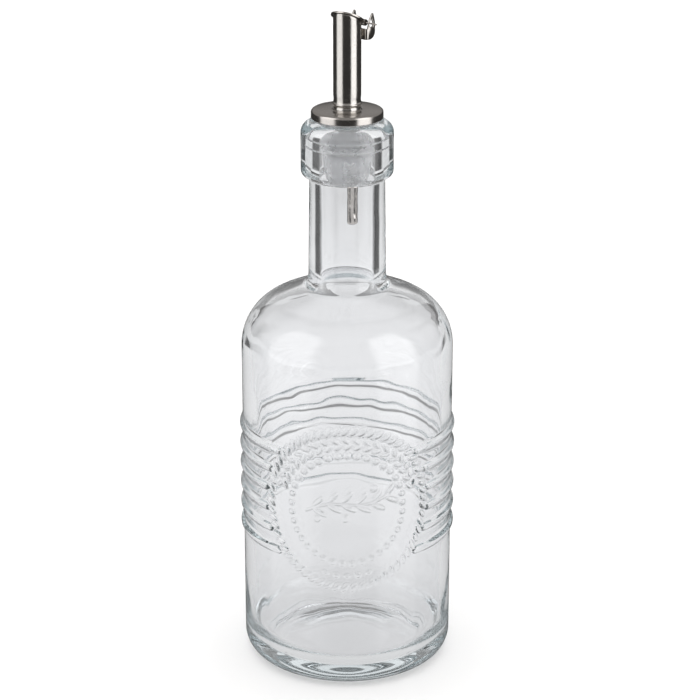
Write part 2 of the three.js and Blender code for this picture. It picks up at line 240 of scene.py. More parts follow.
def finish_modifier(piece, name, kind, **settings):
    pick(piece)
    modifier = piece.modifiers.new(name, kind)
    for key, value in settings.items():
        setattr(modifier, key, value)
    bpy.ops.object.modifier_apply(modifier=name)


def arc(centre_r, centre_z, radius, from_deg, to_deg, steps):
    points = []
    for i in range(steps + 1):
        turn = math.radians(from_deg + (to_deg - from_deg) * i / steps)
        points.append((centre_r + radius * math.cos(turn), centre_z + radius * math.sin(turn)))
    return points


def line(start, end, step):
    """Evenly spaced points from start towards end, without the end itself."""
    length = math.hypot(end[0] - start[0], end[1] - start[1])
    count = max(1, round(length / step))
    return [
        (start[0] + (end[0] - start[0]) * i / count, start[1] + (end[1] - start[1]) * i / count)
        for i in range(count)
    ]


def draw_chain(name, points, closed=False):
    """Draws points, in millimetres, as one chain of edges, left in edit mode and selected."""
    clear_selection()
    bpy.ops.mesh.primitive_plane_add(size=MM)
    piece = new_piece(name)
    bpy.ops.object.mode_set(mode='EDIT')
    bpy.ops.mesh.select_mode(type='VERT')
    bpy.ops.mesh.select_all(action='SELECT')
    bpy.ops.mesh.merge(type='CENTER')
    corners = [Vector(point) * MM for point in points]
    bpy.ops.transform.translate(value=tuple(corners[0]))
    if closed:
        corners.append(corners[0])
    for here, there in zip(corners, corners[1:]):
        move = tuple(there - here)
        bpy.ops.mesh.extrude_region_move(TRANSFORM_OT_translate={"value": move})
    bpy.ops.mesh.select_all(action='SELECT')
    if closed:
        bpy.ops.mesh.remove_doubles(threshold=0.001 * MM)
        bpy.ops.mesh.select_all(action='SELECT')
    return piece


def draw_outline(name, outline, azimuth=0.0, closed=False):
    """Draws [radius, height] points in the upright half-plane at an azimuth."""
    out = (math.cos(azimuth), math.sin(azimuth))
    points = [(r * out[0], r * out[1], z) for r, z in outline]
    return draw_chain(name, points, closed)


def cut_plate(name, outline, across, up, centre, depth):
    """A flat plate: an outline in the plane of two directions, given a depth square to it."""
    side = across.cross(up)
    base = centre - side * depth / 2
    draw = [base + across * x + up * y for x, y in outline]
    piece = draw_chain(name, draw, closed=True)
    bpy.ops.mesh.edge_face_add()
    bpy.ops.mesh.extrude_region_move(TRANSFORM_OT_translate={"value": tuple(side * depth * MM)})
    bpy.ops.mesh.select_all(action='SELECT')
    bpy.ops.mesh.normals_make_consistent(inside=False)
    bpy.ops.object.mode_set(mode='OBJECT')
    return piece


def cut_with(piece, tool, how):
    """Joins, cuts or keeps the common part, and puts the tool away."""
    finish_modifier(piece, "cut", 'BOOLEAN', operation=how, object=tool, solver='EXACT')
    pick(tool)
    bpy.ops.object.delete()


def turn_piece(name, outline, steps, closed=False, centre=(0.0, 0.0)):
    """Turns an outline once round the upright axis and closes the seam."""
    piece = draw_outline(name, outline, closed=closed)
    bpy.ops.mesh.spin(steps=steps, angle=2 * math.pi, center=(0, 0, 0), axis=(0, 0, 1))
    bpy.ops.mesh.select_all(action='SELECT')
    bpy.ops.mesh.remove_doubles(threshold=0.001 * MM)
    bpy.ops.mesh.normals_make_consistent(inside=False)
    if centre != (0.0, 0.0):
        bpy.ops.transform.translate(value=(centre[0] * MM, centre[1] * MM, 0))
    bpy.ops.object.mode_set(mode='OBJECT')
    pick(piece)
    bpy.ops.object.shade_smooth()
    return piece


# ---- bottle
def shoulder_end(radius):
    centre_r = BODY_R - SHOULDER_R
    return (
        centre_r + radius * math.sin(SHOULDER_SLOPE),
        SHOULDER_Z + radius * math.cos(SHOULDER_SLOPE),
    )


def cone_height(start, r):
    return start[1] + (start[0] - r) * math.tan(SHOULDER_SLOPE)


def soft_corner(start, knee, finish):
    """A curve from start to finish, drawn towards the knee between them."""
    start, knee, finish = Vector(start), Vector(knee), Vector(finish)
    points = []
    for i in range(SOFT_STEPS + 1):
        t = i / SOFT_STEPS
        p = (1 - t) ** 2 * start + 2 * t * (1 - t) * knee + t ** 2 * finish
        points.append((p.x, p.y))
    return points


def outside_outline():
    """From the middle of the punt, under the foot and up the outside to the top of the mouth."""
    slope = math.degrees(SHOULDER_SLOPE)
    end = shoulder_end(SHOULDER_R)
    fillet_r = NECK_BASE_R + NECK_FILLET
    neck_foot = cone_height(end, fillet_r)
    neck_start = neck_foot + NECK_FILLET * 1.9
    points = []
    for i in range(PUNT_STEPS):
        dome = math.cos(math.pi / 2 * i / PUNT_STEPS) ** 1.2
        points.append((FOOT_INNER_R * i / PUNT_STEPS, FOOT_GROOVE + (PUNT_RISE - FOOT_GROOVE) * dome))
    points += line((FOOT_INNER_R, FOOT_GROOVE), (FOOT_OUTER_R, FOOT_GROOVE), 0.6)
    heel = arc(BODY_R - HEEL_R, HEEL_R, HEEL_R, HEEL_START, 0, 16)
    points += line((FOOT_OUTER_R, FOOT_GROOVE), heel[0], 0.7)
    points += heel
    points += line((BODY_R, HEEL_R + 1), (BODY_R, RELIEF_LOW), 2.4)
    points += relief_rows()
    points += line((BODY_R, RELIEF_HIGH), (BODY_R, SHOULDER_Z), 2.4)
    points += arc(BODY_R - SHOULDER_R, SHOULDER_Z, SHOULDER_R, 0, 90 - slope, 22)
    points += line(end, (fillet_r, neck_foot), 1.2)[1:]
    knee = (NECK_BASE_R, cone_height(end, NECK_BASE_R))
    points += soft_corner((fillet_r, neck_foot), knee, (NECK_BASE_R, neck_start))
    points += line((NECK_BASE_R, neck_start + 2), (NECK_TOP_R, COLLAR_BOTTOM - 1.6), 3.2)
    points += arc(NECK_TOP_R + NECK_ROUND, COLLAR_BOTTOM - NECK_ROUND, NECK_ROUND, 180, 90, 5)
    low_centre = (COLLAR_R - COLLAR_LOW_ROUND, COLLAR_BOTTOM + COLLAR_LOW_ROUND)
    points += arc(*low_centre, COLLAR_LOW_ROUND, -90, 0, 8)
    points += line((COLLAR_R, COLLAR_BOTTOM + 4), (COLLAR_R, MOUTH_Z - COLLAR_TOP_ROUND), 2.5)[1:]
    top_centre = (COLLAR_R - COLLAR_TOP_ROUND, MOUTH_Z - COLLAR_TOP_ROUND)
    return points + arc(*top_centre, COLLAR_TOP_ROUND, 0, 90, 12)


def inside_outline():
    """From the lip down the bore and the inside wall to the middle of the floor."""
    slope = math.degrees(SHOULDER_SLOPE)
    inner_round = SHOULDER_R - WALL
    inner_wall = BODY_R - WALL
    end = shoulder_end(inner_round)
    throat_r = BORE_R + THROAT
    throat_z = cone_height(end, throat_r)
    bore_end = throat_z + THROAT * 1.7
    points = arc(BORE_R + LIP_ROUND, MOUTH_Z - LIP_ROUND, LIP_ROUND, 90, 180, 4)
    points += line((BORE_R, MOUTH_Z - 2 * LIP_ROUND), (BORE_R, bore_end), 4.0)
    points += soft_corner((BORE_R, bore_end), (BORE_R, cone_height(end, BORE_R)), (throat_r, throat_z))
    points += line((throat_r, throat_z), end, 1.6)[1:]
    points += arc(BODY_R - SHOULDER_R, SHOULDER_Z, inner_round, 90 - slope, 0, 18)
    points += line((inner_wall, SHOULDER_Z - 3), (inner_wall, FLOOR_Z + FLOOR_CORNER_R), 3.2)
    edge = inner_wall - FLOOR_CORNER_R
    points += arc(edge, FLOOR_Z + FLOOR_CORNER_R, FLOOR_CORNER_R, 0, -90, 12)
    steps = 10
    for i in range(1, steps + 1):
        crown = FLOOR_CROWN * math.sin(math.pi / 2 * i / steps) ** 2
        points.append((edge * (1 - i / steps), FLOOR_Z + crown))
    return points


def rib_heights():
    return [RIB_MID_Z + (i - (RIB_COUNT - 1) / 2) * RIB_PITCH for i in range(RIB_COUNT)]


def relief_rows():
    """Rows of the body's skin: close together at the ribs, wider apart between them."""
    rows = []
    here = RELIEF_LOW
    for height in rib_heights():
        low, high = height - RIB_HALF_WIDTH - 0.4, height + RIB_HALF_WIDTH + 0.4
        rows += line((BODY_R, here), (BODY_R, low), PANEL_ROW)
        rows += line((BODY_R, low), (BODY_R, high), RIB_ROW)
        here = high
    return rows + line((BODY_R, here), (BODY_R, RELIEF_HIGH), PANEL_ROW)


def carries_ornament(along, height):
    """True where the panel carries fine relief and needs a finer skin."""
    rise = height - RIB_MID_Z
    radius = math.hypot(along, rise)
    angle = math.degrees(math.atan2(rise, along))
    if abs(radius - ROPE_RING_R) < 2.6 or abs(radius - DOT_RING_R) < 1.5:
        return True
    if 23.2 < radius < 29.8 and (8 < angle < 172 or -122 < angle < -58):
        return True
    off_stem = abs(rise - SPRIG_LIFT - along * math.tan(SPRIG_RISE))
    if abs(along) < SPRIG_HALF + 3 and off_stem < 8.5:
        return True
    for rib in rib_heights():
        reach = math.sqrt(PANEL_R ** 2 - (rib - RIB_MID_Z) ** 2)
        if abs(height - rib) < 2.3 and reach - 2.6 < abs(along) < reach + 3.4:
            return True
    return False


def refine_skin(piece):
    """Splits the skin more finely where ornaments are pressed, and keeps it truly round."""
    pick(piece)
    bpy.ops.object.mode_set(mode='EDIT')
    bpy.ops.mesh.select_mode(type='FACE')
    bpy.ops.mesh.select_all(action='DESELECT')
    bpy.ops.object.mode_set(mode='OBJECT')
    for face in piece.data.polygons:
        x, y, z = face.center / MM
        on_skin = math.hypot(x, y) > BODY_R - 0.2 and RELIEF_LOW < z < RELIEF_HIGH
        face.select = on_skin and carries_ornament(BODY_R * math.atan2(x, -y), z)
    bpy.ops.object.mode_set(mode='EDIT')
    bpy.ops.mesh.subdivide(number_cuts=2)
    bpy.ops.mesh.select_mode(type='VERT')
    bpy.ops.object.mode_set(mode='OBJECT')
    for vertex in piece.data.vertices:
        radius = math.hypot(vertex.co.x, vertex.co.y)
        if radius > (BODY_R - 0.1) * MM and RELIEF_LOW - 1 < vertex.co.z / MM < RELIEF_HIGH + 1:
            vertex.co.x *= BODY_R * MM / radius
            vertex.co.y *= BODY_R * MM / radius


def round_bead(name, half_width, half_depth, half_length, segments=12, rings=8):
    clear_selection()
    bpy.ops.mesh.primitive_uv_sphere_add(segments=segments, ring_count=rings, radius=1.0)
    piece = new_piece(name)
    bpy.ops.object.mode_set(mode='EDIT')
    bpy.ops.mesh.select_all(action='SELECT')
    bpy.ops.transform.resize(value=(half_width * MM, half_depth * MM, half_length * MM))
    bpy.ops.object.mode_set(mode='OBJECT')
    return piece


def lozenge(name, half_width, half_depth, half_height):
    clear_selection()
    bpy.ops.mesh.primitive_cone_add(vertices=4, radius1=1.0, radius2=0.2, depth=1.0)
    piece = new_piece(name)
    bpy.ops.object.mode_set(mode='EDIT')
    bpy.ops.mesh.select_all(action='SELECT')
    bpy.ops.transform.resize(value=(half_width * MM, half_height * MM, half_depth * MM * 1.6))
    bpy.ops.object.mode_set(mode='OBJECT')
    # lay it against the front of the glass, point outwards
    piece.data.transform(Matrix.Rotation(math.radians(90), 4, 'X'))
    return piece


def on_glass(along, height, tilt):
    """Place on the body: distance along the glass from the front centre line, height, tilt."""
    turn = Matrix.Rotation(along / BODY_R, 4, 'Z')
    out = Matrix.Translation((0, -BODY_R * MM, height * MM))
    return turn @ out @ Matrix.Rotation(tilt, 4, 'Y')


def set_on_glass(pattern, along, height, tilt=0.0):
    copy = pattern.copy()
    copy.data = pattern.data.copy()
    bpy.context.collection.objects.link(copy)
    copy.data.transform(on_glass(along, height, tilt))
    return copy


def ring_place(radius, angle):
    """Place on a ring of the panel, angle from the right-hand side."""
    return radius * math.cos(angle), RIB_MID_Z + radius * math.sin(angle)


def make_rib(height, index):
    """Half-buried rounded bead round the body, open over the front panel, with rounded ends."""
    reach = math.sqrt(PANEL_R ** 2 - (height - RIB_MID_Z) ** 2) / BODY_R
    start = -math.pi / 2 - reach
    outline = [
        (BODY_R + RIB_HEIGHT * math.cos(t), height + RIB_HALF_WIDTH * math.sin(t))
        for t in [2 * math.pi * i / 12 for i in range(12)]
    ]
    piece = draw_outline(f"rib_{index}", outline, azimuth=start, closed=True)
    sweep = 2 * math.pi - 2 * reach
    bpy.ops.mesh.spin(steps=120, angle=sweep, center=(0, 0, 0), axis=(0, 0, 1))
    bpy.ops.object.mode_set(mode='OBJECT')
    for azimuth, sense in ((start, 1), (start - sweep, -1)):
        round_off_end(piece, azimuth, sense, height)
    return piece


def round_off_end(piece, azimuth, sense, height):
    out = Vector((math.cos(azimuth), math.sin(azimuth), 0))
    along = Vector((-math.sin(azimuth), math.cos(azimuth), 0)) * sense
    centre = out * BODY_R * MM + Vector((0, 0, height * MM))
    pick(piece)
    bpy.ops.object.mode_set(mode='EDIT')
    bpy.ops.mesh.select_all(action='DESELECT')
    bpy.ops.object.mode_set(mode='OBJECT')
    for vertex in piece.data.vertices:
        flat = (vertex.co - centre).dot(along)
        near = (vertex.co - centre).length < 2.5 * MM
        vertex.select = abs(flat) < 0.01 * MM and near
    bpy.ops.object.mode_set(mode='EDIT')
    steps = 4
    length = RIB_HALF_WIDTH * 1.1
    for i in range(1, steps + 1):
        before = math.cos(math.pi / 2 * (i - 1) / steps)
        after = max(0.03, math.cos(math.pi / 2 * i / steps))
        move = length * (math.sin(math.pi / 2 * i / steps) - math.sin(math.pi / 2 * (i - 1) / steps))
        bpy.ops.mesh.extrude_region_move(TRANSFORM_OT_translate={"value": tuple(along * move * MM)})
        shift = along * length * math.sin(math.pi / 2 * i / steps) * MM
        scale = after / before
        bpy.ops.transform.resize(value=(scale, scale, scale), center_override=tuple(centre + shift))
    bpy.ops.object.mode_set(mode='OBJECT')


def make_relief():
    """Every raised ornament of the body, half buried in its surface, joined in one piece."""
    pieces = []
    for i, height in enumerate(rib_heights()):
        pieces.append(make_rib(height, i))
    strand = round_bead("rope_strand", *STRAND)
    dot = round_bead("dot", *DOT)
    leaf = round_bead("garland_leaf", *LEAF)
    sprig_leaf = round_bead("sprig_leaf", *SPRIG_LEAF)
    olive = round_bead("olive", *OLIVE)
    diamond = lozenge("lozenge", *LOZENGE)
    patterns = [strand, dot, leaf, sprig_leaf, olive, diamond]
    for i in range(ROPE_BEADS):
        angle = 2 * math.pi * i / ROPE_BEADS
        along, height = ring_place(ROPE_RING_R, angle)
        pieces.append(set_on_glass(strand, along, height, math.pi / 2 - angle + LEAN))
    for i in range(DOT_COUNT):
        along, height = ring_place(DOT_RING_R, math.pi / 2 + 2 * math.pi * i / DOT_COUNT)
        pieces.append(set_on_glass(dot, along, height))
    for i in range(GARLAND_PAIRS):
        angle = GARLAND_START - GARLAND_SWEEP * i / (GARLAND_PAIRS - 1)
        for side in (-1, 1):
            along, height = ring_place(GARLAND_R + side * GARLAND_HALF, angle + side * 0.012)
            pieces.append(set_on_glass(leaf, along, height, -angle + side * LEAN))
    for i in range(-2, 3):
        turn = i * LOZENGE_STEP / 2 / GARLAND_R
        along, height = ring_place(GARLAND_R + 0.2, turn - math.pi / 2)
        if i % 2:
            pieces.append(set_on_glass(dot, along, height))
        else:
            pieces.append(set_on_glass(diamond, along, height, -turn))
    pieces += make_sprig(sprig_leaf, olive)
    pick(*patterns)
    bpy.ops.object.delete()
    pick(*pieces)
    bpy.ops.object.join()
    return new_piece("relief")


def make_sprig(sprig_leaf, olive):
    """Olive sprig in the middle of the panel, rising gently to the right."""

    def stem(t):
        x = SPRIG_HALF * (2 * t - 1)
        z = RIB_MID_Z + SPRIG_LIFT + x * math.tan(SPRIG_RISE) + SPRIG_WAVE * math.sin(2 * math.pi * t)
        return x, z

    clear_selection()
    bpy.ops.curve.primitive_nurbs_path_add()
    curve = bpy.context.object
    curve.name = "sprig_stem"
    spline = curve.data.splines[0]
    count = 14
    spline.points.add(count - len(spline.points))
    for i, point in enumerate(spline.points):
        x, z = stem(i / (count - 1))
        place = on_glass(x, z, 0).translation
        point.co = (place.x, place.y, place.z, 1)
    curve.data.bevel_depth = STEM_R * MM
    curve.data.bevel_resolution = 2
    curve.data.use_fill_caps = True
    pick(curve)
    bpy.ops.object.convert(target='MESH')
    pieces = [bpy.context.object]
    for i in range(SPRIG_PAIRS):
        t = 0.08 + 0.86 * i / (SPRIG_PAIRS - 1)
        x, z = stem(t)
        for side in (-1, 1):
            lean = math.pi / 2 - side * LEAN - SPRIG_RISE
            along = x + SPRIG_REACH * math.sin(lean)
            height = z + SPRIG_REACH * math.cos(lean)
            pieces.append(set_on_glass(sprig_leaf, along, height, lean))
    for t, drop in ((0.17, -5.2), (0.5, -5.6), (0.83, 5.4)):
        x, z = stem(t)
        pieces.append(set_on_glass(olive, x - 0.6, z + drop, 0.2))
    return pieces


def make_foot_ridges():
    """Short slanted ridges under the foot, joined in one piece."""
    ridge = round_bead("foot_ridge", *FOOT_RIDGE, segments=10, rings=6)
    pieces = []
    for i in range(RIDGE_COUNT):
        copy = ridge.copy()
        copy.data = ridge.data.copy()
        bpy.context.collection.objects.link(copy)
        place = Matrix.Rotation(2 * math.pi * i / RIDGE_COUNT, 4, 'Z')
        place = place @ Matrix.Translation((0, RIDGE_RING_R * MM, FOOT_GROOVE * MM))
        copy.data.transform(place @ Matrix.Rotation(RIDGE_SLANT, 4, 'Z'))
        pieces.append(copy)
    pick(ridge)
    bpy.ops.object.delete()
    pick(*pieces)
    bpy.ops.object.join()
    return new_piece("foot_ridges")


def group_where(piece, name, test):
    group = piece.vertex_groups.new(name=name)
    group.add([v.index for v in piece.data.vertices if test(v.co)], 1.0, 'REPLACE')


def make_bottle():
    outline = outside_outline() + inside_outline()
    piece = draw_outline("glass_bottle", outline, azimuth=-math.pi / 2 + FRONT_HALF)
    front = 2 * FRONT_HALF
    bpy.ops.mesh.spin(steps=FRONT_STEPS, angle=front, center=(0, 0, 0), axis=(0, 0, 1))
    bpy.ops.mesh.spin(steps=BACK_STEPS, angle=2 * math.pi - front, center=(0, 0, 0), axis=(0, 0, 1))
    bpy.ops.mesh.select_all(action='SELECT')
    bpy.ops.mesh.remove_doubles(threshold=0.002 * MM)
    bpy.ops.mesh.normals_make_consistent(inside=False)
    bpy.ops.object.mode_set(mode='OBJECT')

    refine_skin(piece)
    relief = make_relief()
    ridges = make_foot_ridges()
    group_where(piece, "skin", lambda p: (
        math.hypot(p.x, p.y) > (BODY_R - 0.1) * MM and RELIEF_LOW * MM - MM < p.z < RELIEF_HIGH * MM + MM))
    group_where(piece, "foot", lambda p: (
        27.3 * MM < math.hypot(p.x, p.y) < 36.7 * MM and p.z < 0.7 * MM))
    group_where(piece, "inner", lambda p: (
        30 * MM < math.hypot(p.x, p.y) < (BODY_R - WALL + 0.1) * MM and 20 * MM < p.z < 138 * MM))
    for target, group, limit in ((relief, "skin", 1.4 * MM), (ridges, "foot", 0.6 * MM)):
        finish_modifier(
            piece, "press_out", 'SHRINKWRAP', wrap_method='PROJECT', target=target,
            vertex_group=group, use_positive_direction=True,
            use_negative_direction=False, project_limit=limit)
    pick(relief, ridges)
    bpy.ops.object.delete()

    soften_relief(piece)
    cloud = bpy.data.textures.new("uneven_wall", 'CLOUDS')
    cloud.noise_scale = 14 * MM
    cloud.noise_depth = 1
    finish_modifier(
        piece, "uneven", 'DISPLACE', texture=cloud, texture_coords='LOCAL',
        direction='NORMAL', strength=0.6 * MM, mid_level=0.5, vertex_group="inner")
    pick(piece)
    bpy.ops.object.shade_smooth()
    return piece


def soften_relief(piece):
    """Rounds the feet of the raised ornaments, as blown glass does."""
    pick(piece)
    bpy.ops.object.mode_set(mode='EDIT')
    bpy.ops.mesh.select_all(action='DESELECT')
    bpy.ops.object.mode_set(mode='OBJECT')
    for vertex in piece.data.vertices:
        radius = math.hypot(vertex.co.x, vertex.co.y)
        raised = radius > (BODY_R + 0.01) * MM
        pressed = vertex.co.z < (FOOT_GROOVE - 0.01) * MM
        vertex.select = raised or pressed
    bpy.ops.object.mode_set(mode='EDIT')
    bpy.ops.mesh.select_more()
    bpy.ops.mesh.vertices_smooth(factor=0.4, repeat=1)
    bpy.ops.object.mode_set(mode='OBJECT')


# ---- pourer
def make_stopper():
    flange_r = CAP_R - CAP_SHEET - GAP
    flange_top = CAP_TOP - CAP_SHEET - GAP
    flange_bottom = MOUTH_Z + GAP
    core_r = STOPPER_CORE_R
    bore_r = TUBE_R + GAP
    points = [(bore_r, flange_top)]
    points += arc(flange_r - 0.5, flange_top - 0.5, 0.5, 90, 0, 4)
    points += arc(flange_r - 0.5, flange_bottom + 0.5, 0.5, 0, -90, 4)
    points += [(core_r + 0.5, flange_bottom)]
    points += arc(core_r + 0.5, flange_bottom - 0.5, 0.5, 90, 180, 4)
    for z in FIN_HEIGHTS:
        points += [(core_r, z + 1.0), (core_r + 0.12, z + 0.8)]
        points += arc(FIN_R - 0.3, z + 0.22, 0.3, 80, 0, 3)
        points += arc(FIN_R - 0.3, z - 0.22, 0.3, 0, -80, 3)
        points += [(core_r + 0.12, z - 0.8), (core_r, z - 1.0)]
    points += [(core_r, 200.8), (8.92, 199.2), (8.8, 197.4), (8.55, 195.6), (8.25, 194.2), (7.9, 193.0)]
    points += arc(6.9, STOPPER_BOTTOM + 0.7, 0.7, -10, -90, 5)
    points += arc(PASSAGE_R + 0.4, STOPPER_BOTTOM + 0.4, 0.4, -90, -180, 4)
    points += [(PASSAGE_R, STOPPER_STEP), (bore_r, STOPPER_STEP)]
    return turn_piece("silicone_stopper", points, 96, closed=True)


def make_cap():
    hole = TUBE_R + GAP
    edge = 1.15
    inner = CAP_R - CAP_SHEET
    points = arc(hole + 0.25, CAP_TOP + CAP_CROWN - 0.25, 0.25, 180, 90, 4)
    crown = 10
    for i in range(1, crown):
        r = hole + 0.5 + (CAP_R - edge - hole - 0.5) * i / crown
        fall = ((r - hole) / (CAP_R - edge - hole)) ** 2
        points.append((r, CAP_TOP + CAP_CROWN * (1 - fall)))
    points += arc(CAP_R - edge, CAP_TOP - edge, edge, 90, 0, 8)
    points += [(CAP_R, 215.6), (CAP_R, 214.9), (CAP_R, CAP_SKIRT_BOTTOM + 0.25)]
    points += arc(CAP_R - 0.2, CAP_SKIRT_BOTTOM + 0.2, 0.2, 0, -90, 3)
    points += arc(inner + 0.2, CAP_SKIRT_BOTTOM + 0.2, 0.2, -90, -180, 3)
    points += [(inner, CAP_TOP - CAP_SHEET - 0.4), (inner - 0.4, CAP_TOP - CAP_SHEET)]
    points += [(hole, CAP_TOP - CAP_SHEET)]
    return turn_piece("steel_cap", points, 160, closed=True)


def mouth_normal():
    return Vector((
        math.sin(MOUTH_TILT) * math.cos(MOUTH_AZIMUTH),
        math.sin(MOUTH_TILT) * math.sin(MOUTH_AZIMUTH),
        math.cos(MOUTH_TILT),
    ))


def make_spout():
    inner = TUBE_R - TUBE_WALL
    bead_z = CAP_TOP + 2.4
    top = TUBE_TOP + TUBE_R
    points = [(inner, TUBE_BOTTOM), (TUBE_R - 0.1, TUBE_BOTTOM), (TUBE_R, TUBE_BOTTOM + 0.1)]
    points += [(TUBE_R, 210), (TUBE_R, CAP_TOP + 0.6), (TUBE_R - 0.12, CAP_TOP + 0.95)]
    points += [(TUBE_R - 0.22, CAP_TOP + 1.3), (TUBE_R - 0.12, bead_z - 0.75)]
    points += arc(TUBE_R - 0.16, bead_z - 0.1, 0.46, -60, 60, 8)
    points += [(TUBE_R - 0.08, bead_z + 0.7), (TUBE_R - 0.14, bead_z + 1.2), (TUBE_R - 0.12, bead_z + 1.8)]
    points += [(TUBE_R - 0.05, bead_z + 2.4), (TUBE_R, bead_z + 3.0)]
    points += line((TUBE_R, bead_z + 4.5), (TUBE_R, top), 4.0)
    points += [(TUBE_R, top), (inner, top)]
    piece = turn_piece("spout_tube_steel", points, 128, closed=True)
    normal = mouth_normal()
    seat = Vector((0, 0, TUBE_TOP * MM))
    pick(piece)
    bpy.ops.object.mode_set(mode='EDIT')
    bpy.ops.mesh.select_all(action='SELECT')
    bpy.ops.mesh.bisect(plane_co=seat, plane_no=normal, clear_outer=True, use_fill=False)
    bpy.ops.mesh.select_mode(type='EDGE')
    bpy.ops.mesh.select_all(action='DESELECT')
    bpy.ops.mesh.select_non_manifold()
    bpy.ops.mesh.bridge_edge_loops()
    bpy.ops.mesh.select_all(action='SELECT')
    bpy.ops.mesh.normals_make_consistent(inside=False)
    bpy.ops.mesh.select_mode(type='VERT')
    bpy.ops.object.mode_set(mode='OBJECT')
    finish_modifier(
        piece, "rim", 'BEVEL', width=0.09 * MM, segments=2, limit_method='ANGLE',
        angle_limit=math.radians(50))
    pick(piece)
    bpy.ops.object.shade_smooth_by_angle(angle=math.radians(40))
    return piece


def make_vent():
    inner = VENT_R - VENT_WALL
    points = [(inner, VENT_BOTTOM + 0.1), (inner + 0.1, VENT_BOTTOM), (VENT_R - 0.12, VENT_BOTTOM)]
    points += line((VENT_R, VENT_BOTTOM + 0.12), (VENT_R, VENT_TOP), 0.7)
    points += [(VENT_R, VENT_TOP), (inner, VENT_TOP)]
    piece = turn_piece("vent_tube_steel", points, 40, closed=True, centre=(VENT_X, VENT_Y))
    # the thin pipe is slightly dented where it was drawn and handled
    dents = bpy.data.textures.new("pipe_dents", 'CLOUDS')
    dents.noise_scale = 2.6 * MM
    dents.noise_depth = 0
    group_where(piece, "pipe", lambda p: p.z < 190 * MM)
    finish_modifier(
        piece, "dents", 'DISPLACE', texture=dents, texture_coords='LOCAL',
        direction='NORMAL', strength=0.24 * MM, mid_level=0.75, vertex_group="pipe")
    pick(piece)
    bpy.ops.object.shade_smooth_by_angle(angle=math.radians(50))
    return piece


def make_bracket():
    outward, pin_axis = hinge_directions()
    upward = Vector((0, 0, 1))
    bend = 1.0
    half = BRACKET_HALF
    plan = [(-half, BRACKET_OUT + 1)]
    plan += arc(-half + bend, BRACKET_IN + bend, bend, 180, 270, 6)
    plan += arc(half - bend, BRACKET_IN + bend, bend, 270, 360, 6)
    plan += [(half, BRACKET_OUT + 1), (half - SHEET, BRACKET_OUT + 1)]
    plan += arc(half - bend, BRACKET_IN + bend, bend - SHEET, 360, 270, 5)
    plan += arc(-half + bend, BRACKET_IN + bend, bend - SHEET, 270, 180, 5)
    plan += [(-half + SHEET, BRACKET_OUT + 1)]
    middle = Vector((0, 0, (BRACKET_BOTTOM + EAR_TIP_Z) / 2))
    piece = cut_plate(
        "hinge_bracket_steel", plan, pin_axis, outward, middle, EAR_TIP_Z - BRACKET_BOTTOM)
    corner = 2.8
    ear = [(BRACKET_IN - 1, BRACKET_BOTTOM)]
    ear += arc(BRACKET_OUT - corner, BRACKET_BOTTOM + corner, corner, -90, 0, 10)
    ear += [(BRACKET_OUT, HINGE_Z - 0.2), (BRACKET_OUT - 0.25, HINGE_Z + 1.1)]
    ear += [(EAR_TIP_OUT + 0.35, EAR_TIP_Z - 0.35), (EAR_TIP_OUT + 0.05, EAR_TIP_Z)]
    ear += [(EAR_TIP_OUT - 0.4, EAR_TIP_Z - 0.4), (BRACKET_IN + 1.9, HINGE_Z + 1.9)]
    ear += [(BRACKET_IN + 1.3, HINGE_Z + 0.9), (BRACKET_IN + SHEET + 0.2, WEB_TOP)]
    ear += [(BRACKET_IN - 1, WEB_TOP)]
    origin = Vector((0, 0, 0))
    side = cut_plate("ear_side", ear, outward, upward, origin, 2 * BRACKET_HALF + 2)
    cut_with(piece, side, 'INTERSECT')
    hole = arc(HINGE_OUT, HINGE_Z - 0.2, 1.15, 150, 390, 16)
    hole += arc(HINGE_OUT, HINGE_Z + 1.5, 0.35, 20, 160, 5)
    pear = cut_plate("pear_hole", hole, outward, upward, origin, 2 * BRACKET_HALF + 4)
    cut_with(piece, pear, 'DIFFERENCE')
    return soften_sheet(piece, 0.1)


def hinge_directions():
    outward = Vector((math.cos(HINGE_AZIMUTH), math.sin(HINGE_AZIMUTH), 0))
    return outward, outward.cross(Vector((0, 0, 1)))


def soften_sheet(piece, width):
    """Breaks the sharp stamped edges and smooths the curved faces."""
    finish_modifier(
        piece, "edges", 'BEVEL', width=width * MM, segments=2, limit_method='ANGLE',
        angle_limit=math.radians(40))
    pick(piece)
    bpy.ops.object.shade_smooth_by_angle(angle=math.radians(35))
    return piece


def make_pin():
    outward, pin_axis = hinge_directions()
    clear_selection()
    bpy.ops.mesh.primitive_cylinder_add(vertices=24, radius=PIN_R * MM, depth=2 * PIN_HALF * MM)
    piece = new_piece("hinge_pin_steel")
    turn = Vector((0, 0, 1)).rotation_difference(pin_axis).to_matrix().to_4x4()
    seat = outward * HINGE_OUT + Vector((0, 0, HINGE_Z))
    piece.data.transform(Matrix.Translation(seat * MM) @ turn)
    return soften_sheet(piece, 0.1)


